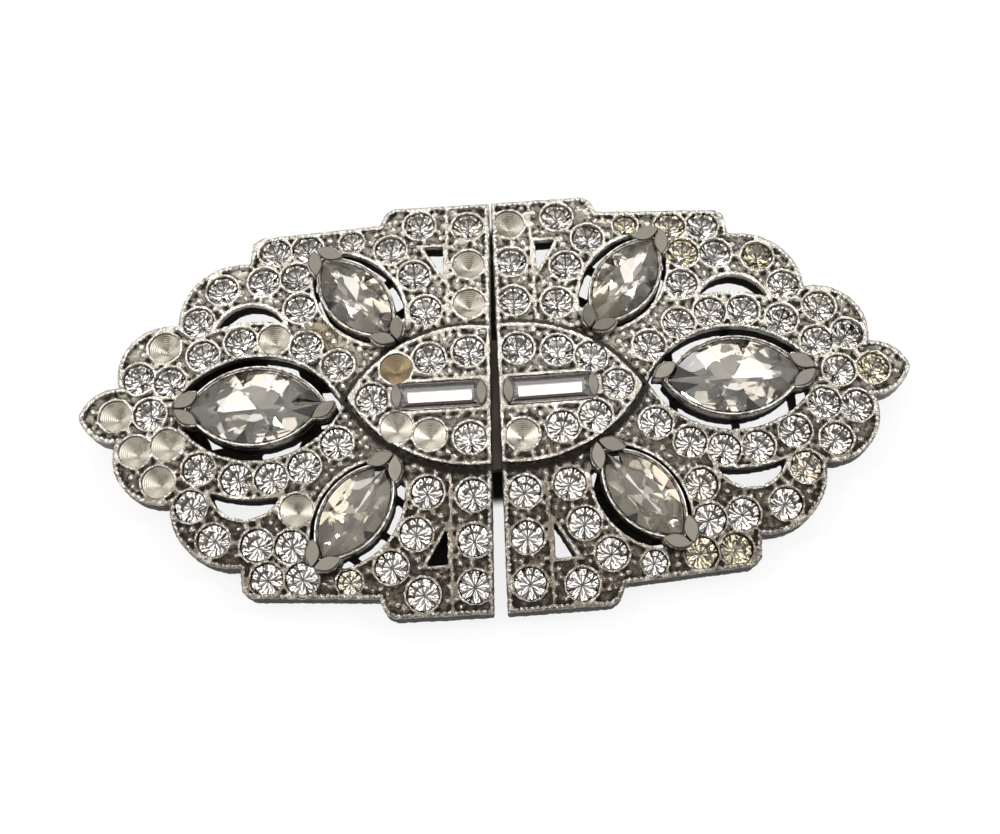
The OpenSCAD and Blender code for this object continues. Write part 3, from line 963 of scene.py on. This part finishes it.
def write_lift_and_shade(body):
    """Writes each point's height over the face that it lies on, for its finish to read.

    The back counts as plain face; the outer walls are set low enough for a dark painted shade, and the flank
    round the medallion lower still, for a very dark painted shade.
    """
    plain, grime_and_shade_dark, hollow_shade = 0.06, -0.07, -0.45
    flank_w = 0.7
    heights = []
    for v in body.data.vertices:
        x, y, z = v.co
        p = Vector((x, y))
        h = z - (math.sqrt(dome_r ** 2 - y * y) - dome_r)
        if h > 0.3 and medallion_gap(p) < 0:
            h -= medal_h
        # Painted shade: the flank round the medallion is set far under the face, so that the finish paints it
        # very dark.
        if 0.05 < medallion_gap(p) < flank_w:
            h = min(h, hollow_shade)
        if h < 0.2 - plate_t:
            h = plain
        # Painted shade: the outer walls are set low, so that the finish paints them dark.
        elif h < -0.2 and outline_gap(p) > -0.3:
            h = grime_and_shade_dark
        heights.append(h)
    values = body.data.attributes.new("lift_and_shade", "FLOAT", "POINT").data
    values.foreach_set("value", heights)


def leaf_model():
    """One leaf of a prong: a flat plate that narrows towards its ends, with a worn edge."""
    half_l, half_w = 1.3, 0.66
    bpy.ops.mesh.primitive_cylinder_add(vertices=24, radius=1, depth=0.5)
    leaf = named("leaf_model")
    edit()
    everything()
    bpy.ops.transform.resize(value=(half_l, half_w, 1))
    done()
    for v in leaf.data.vertices:
        v.co.y *= max(0.12, 1 - 0.55 * (v.co.x / half_l) ** 2)
    bevel_edges = leaf.modifiers.new("worn_edge", "BEVEL")
    bevel_edges.width = 0.06
    bevel_edges.segments = 1
    bevel_edges.limit_method = "ANGLE"
    finished(leaf)
    coat(leaf, prong)
    return leaf


def prong_leaves(leaf):
    """A pair of leaves at each end of a marquise, but one leaf alone at the inner end of the tip marquise,
    and a plate over each end of the baguette.
    """
    leaf_h = cup_h + 0.28
    plate_h = medal_h + rim_h + 0.2
    places = []

    def pair(middle, half_l, leaves=(1, -1)):
        """The leaves beyond one end of a marquise, each turned and leaning in towards it."""
        for k in leaves:
            lean_in = Matrix.Rotation(math.radians(-6), 4, "Y") @ Matrix.Rotation(math.radians(k * 9), 4, "X")
            place = middle @ Matrix.Translation((half_l + 0.3, k * 0.86, leaf_h))
            places.append(place @ Matrix.Rotation(math.radians(-k * 34), 4, "Z") @ lean_in)

    pair(on_face(big_x, 0), big_l / 2)
    pair(on_face(big_x, 0, turn=180), big_l / 2, leaves=(-1,))
    for row in (1, -1):
        for turn in (0, 180):
            pair(on_navette(row, turn=turn), navette_l / 2)
    for end, shift in ((1, 0.0), (-1, 0.1)):
        x = baguette_x + end * (baguette_l / 2 + 0.12) + shift
        places.append(on_face(x, 0, plate_h, 90) @ Matrix.Diagonal((0.92, 0.72, 0.6, 1)))
    return strewn(leaf, places, "prong_leaves")


def bezel_wall(name, half_l, half_w):
    """A thin wall with the outline of a marquise."""
    foot, wall_h = -0.5, 0.72
    half_l, half_w = half_l + seat_gap + 0.3, half_w + seat_gap + 0.22
    bpy.ops.mesh.primitive_circle_add(vertices=96, radius=1, fill_type="NOTHING")
    wall = named(name)
    for v in wall.data.vertices:
        v.co = (*on_oval(v.co, half_l, half_w), foot)
    edit()
    everything()
    bpy.ops.mesh.extrude_region_move(TRANSFORM_OT_translate={"value": (0, 0, wall_h)})
    everything()
    bpy.ops.mesh.normals_make_consistent(inside=False)
    done()
    thick = wall.modifiers.new("thickness", "SOLIDIFY")
    thick.thickness = 0.12
    thick.offset = 0
    rounded = wall.modifiers.new("rounded", "BEVEL")
    rounded.width = 0.035
    rounded.segments = 2
    rounded.limit_method = "ANGLE"
    finished(wall)
    coat(wall, bezel)
    return wall


def seat_liner(d):
    """The turned cone inside an empty seat, with the rings of its drill, spun from one profile."""
    r = d / 2 + seat_gap + 0.02
    depth = seat_lip + d * 0.44
    rings = 10
    # Shares of a ring's width and height that its steep part takes
    steep_w, steep_h = 0.32, 0.7
    profile = [(r + 0.05, 0.02)]
    for i in range(rings):
        width = r * (1 - i / rings)
        height = -0.05 - (depth - 0.1) * i / rings
        profile.append((width, height))
        profile.append((width - steep_w * r / rings, height - steep_h * depth / rings))
    profile.append((0.0, -depth + 0.02))
    bpy.ops.mesh.primitive_plane_add(size=0.01)
    liner = named("seat_liner")
    liner.data.clear_geometry()
    edges = [(i, i + 1) for i in range(len(profile) - 1)]
    liner.data.from_pydata([(x, 0, z) for x, z in profile], edges, [])
    edit()
    everything()
    bpy.ops.mesh.spin(steps=40, angle=2 * math.pi, center=(0, 0, 0), axis=(0, 0, 1))
    everything()
    bpy.ops.mesh.remove_doubles(threshold=0.001)
    bpy.ops.mesh.normals_make_consistent(inside=False)
    done()
    if sum(face.normal.z for face in liner.data.polygons) < 0:
        liner.data.flip_normals()
    coat(liner, seat_metal)
    return liner


def fanned(piece, centre):
    """Writes the painted reflections of a turned cone: the two bright wedges that light draws on it, and its
    paler, lit near side.
    """
    values = piece.data.attributes.new("painted_glint", "FLOAT", "POINT").data
    for v, value in zip(piece.data.vertices, values):
        a = math.atan2(v.co.y - centre.y, v.co.x - centre.x)
        value.value = min(1.0, abs(math.cos(a + 0.15)) ** 8 + 0.35 * max(0.0, -math.sin(a)))


def castings():
    """Both clips' castings, from one model."""
    lump_h, lump_t = -1.85, 0.5
    chance = random.Random(7)
    body = casting_model(chance)
    write_lift_and_shade(body)
    coat(body, metal)
    leaf = leaf_model()
    leaves = prong_leaves(leaf)
    big_wall = bezel_wall("big_wall", big_l / 2, big_w / 2)
    small_wall = bezel_wall("small_wall", navette_l / 2, navette_w / 2)
    liner = seat_liner(round_d)
    walls = [copied(big_wall, on_face(big_x, 0, cup_h), "wall")]
    for row in (1, -1):
        walls.append(copied(small_wall, on_navette(row, cup_h), "wall"))
    for piece in (leaves, *walls):
        marked(piece, "lift_and_shade", 0.3)
    for side, word in ((1, "right"), (-1, "left")):
        place = clip_place(side)
        parts = [copied(piece, place, "part") for piece in (body, leaves, *walls)]
        for name in lost[side]:
            x, y, d = seats[name]
            cone = place @ on_face(x, y, face_height_at(name))
            inside = copied(liner, cone, name)
            marked(inside, "crust", 1.0 if name in crusted[side] else 0.0)
            fanned(inside, cone.translation)
            parts.append(inside)
        lumps = []
        for x, y, turn, half_l, half_w in dark_lumps[side]:
            lumps.append(on_face(x, y, lump_h, turn) @ Matrix.Diagonal((half_l, half_w, lump_t, 1)))
        glue = strewn(leaf, lumps, "glue")
        glue.data.transform(place)
        coat(glue, metal)
        # Marked far under the face, so that the finish gives the lumps its darkest painted shade.
        marked(glue, "lift_and_shade", -1.0)
        parts.append(glue)
        casting = joined(parts, "casting_" + word)
        alone(casting)
        bpy.ops.object.shade_smooth_by_angle(angle=math.radians(38))
        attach(casting, "root")
        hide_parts("clip_" + word)
    thrown_away(body, leaf, leaves, big_wall, small_wall, liner, *walls)


def steel_back():
    """The levers, the frame and the pin keep the part's shape."""
    for name in ("lever_right", "lever_left", "pin_frame", "pin"):
        coat(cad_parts[name], steel)


# The stage

def floor():
    """A pale floor that glows, as the photo's ground is white, with a band of painted shadow under the joint.
    """
    grey, light_grey, shade = (0.15, 0.15, 0.149), (0.17, 0.17, 0.169), (0.02, 0.018, 0.016)
    bpy.ops.mesh.primitive_circle_add(vertices=96, radius=3.0, fill_type="NGON")
    ground_plane = named("floor")
    f = Finish("pale_floor")
    cloud = f.noise(30.0)
    pale = f.blend(cloud, grey, light_grey)
    across, along = f.split(f.place)["X"], f.split(f.place)["Y"]
    # Painted shadow: a dark band under the joint, where the floor neither glows nor is pale.
    beside = f.ramp(f.math("ABSOLUTE", across), 0.0013, 0.0007)
    from_middle = f.math("ABSOLUTE", f.math("SUBTRACT", along, 0.005))
    joint = f.math("MULTIPLY", beside, f.ramp(from_middle, 0.015, 0.0135))
    f.set(Base_Color=f.blend(joint, pale, shade), Roughness=0.7)
    f.set(Emission_Color=(1, 1, 1, 1), Emission_Strength=f.ramp(joint, 0.0, 1.0, 0.82, 0.0))
    f.shader.inputs["Specular IOR Level"].default_value = 0.0
    coat(ground_plane, f.material)


def camera():
    """The photo's view: 71 degrees up, rolled a little, near enough to give strong perspective."""
    elevation, tilt, roll = math.radians(71.03), math.radians(-0.26), math.radians(-3.71)
    distance = 135.0
    lens_px = 1439.07
    frame_px = 1000
    shift_px = (4.98, -22.04)
    a = math.pi / 2 - elevation
    rx = Matrix(((1, 0, 0), (0, math.cos(a), math.sin(a)), (0, -math.sin(a), math.cos(a))))
    ry = Matrix(((math.cos(tilt), 0, -math.sin(tilt)), (0, 1, 0), (math.sin(tilt), 0, math.cos(tilt))))
    rz = Matrix(((math.cos(roll), math.sin(roll), 0), (-math.sin(roll), math.cos(roll), 0), (0, 0, 1)))
    turn = rz @ ry @ rx
    data = bpy.data.cameras.new("camera")
    data.sensor_width = 36
    data.lens = lens_px * data.sensor_width / frame_px
    data.shift_x, data.shift_y = shift_px[0] / frame_px, shift_px[1] / frame_px
    data.clip_start = 0.005
    eye = bpy.data.objects.new("camera", data)
    bpy.context.collection.objects.link(eye)
    look = turn.transposed().to_4x4()
    target = Vector((0, 0, face_z))
    look.translation = (turn[2] * distance + target) * MM
    eye.matrix_world = look
    bpy.context.scene.camera = eye


def softbox(name, azimuth, elevation, distance, width, height, power, colour=(1, 1, 1)):
    """A soft light that looks at the brooch. Azimuth 0 is over the near side and 90 over the right."""
    data = bpy.data.lights.new(name, "AREA")
    data.shape = "RECTANGLE"
    data.size, data.size_y = width, height
    data.energy = power
    data.color = colour
    box = bpy.data.objects.new(name, data)
    bpy.context.collection.objects.link(box)
    a, e = math.radians(azimuth), math.radians(elevation)
    way = Vector((math.sin(a) * math.cos(e), -math.cos(a) * math.cos(e), math.sin(e)))
    box.location = way * distance
    box.rotation_euler = way.to_track_quat("Z", "Y").to_euler()
    box.visible_camera = False


def room():
    """A pale ceiling over dark walls, with darker patches for the stones and the metal to mirror."""
    world = bpy.data.worlds.new("room")
    world.use_nodes = True
    bpy.context.scene.world = world
    n = Nodes(world.node_tree, "Background", "Generated")
    way = n.split(n.place)
    patches = n.node("ShaderNodeTexNoise")
    n.feed(patches.inputs["Vector"], n.place)
    n.feed(patches.inputs["Scale"], 3.2)
    n.feed(patches.inputs["Detail"], 1.0)
    ceiling = n.ramp(way["Z"], 0.3, 0.7, 0.06, 1.4)
    behind = n.ramp(way["Y"], -0.45, 0.3, 0.8, 1.0)
    broken = n.ramp(patches.outputs["Fac"], 0.40, 0.45, 0.04, 1.15)
    light = n.math("MULTIPLY", n.math("MULTIPLY", ceiling, behind), broken)
    seen = n.node("ShaderNodeLightPath").outputs["Is Camera Ray"]
    n.feed(n.shader.inputs["Strength"], n.math("MAXIMUM", light, n.math("MULTIPLY", seen, 0.9)))
    n.shader.inputs["Color"].default_value = (1.0, 0.985, 0.96, 1)


def lights():
    """Two high side lights, weak ones over and behind the far side, and four small ones for the stones."""
    warm = (1.0, 0.97, 0.93)
    softbox("over_far_side", 180, 71, 0.7, 0.17, 0.12, 0.12)
    softbox("left_high", 262, 58, 0.7, 0.08, 0.16, 0.75, warm)
    softbox("right_high", 98, 56, 0.7, 0.08, 0.16, 0.75)
    softbox("far_low", 184, 34, 0.8, 0.4, 0.06, 0.6)
    softbox("near_left", 318, 66, 0.7, 0.035, 0.035, 0.22)
    softbox("near_right", 38, 69, 0.7, 0.035, 0.035, 0.22)
    softbox("far_left", 215, 62, 0.7, 0.03, 0.03, 0.2)
    softbox("far_right", 140, 60, 0.7, 0.03, 0.03, 0.2)


floor()
camera()
room()
lights()
steel_back()
castings()
dice = random.Random(3)
set_stones(1, dice)
set_stones(-1, dice)
thrown_away(round_cut, small_cut, big_cut, navette_cut, baguette_cut)

bpy.context.scene.view_settings.view_transform = "Standard"
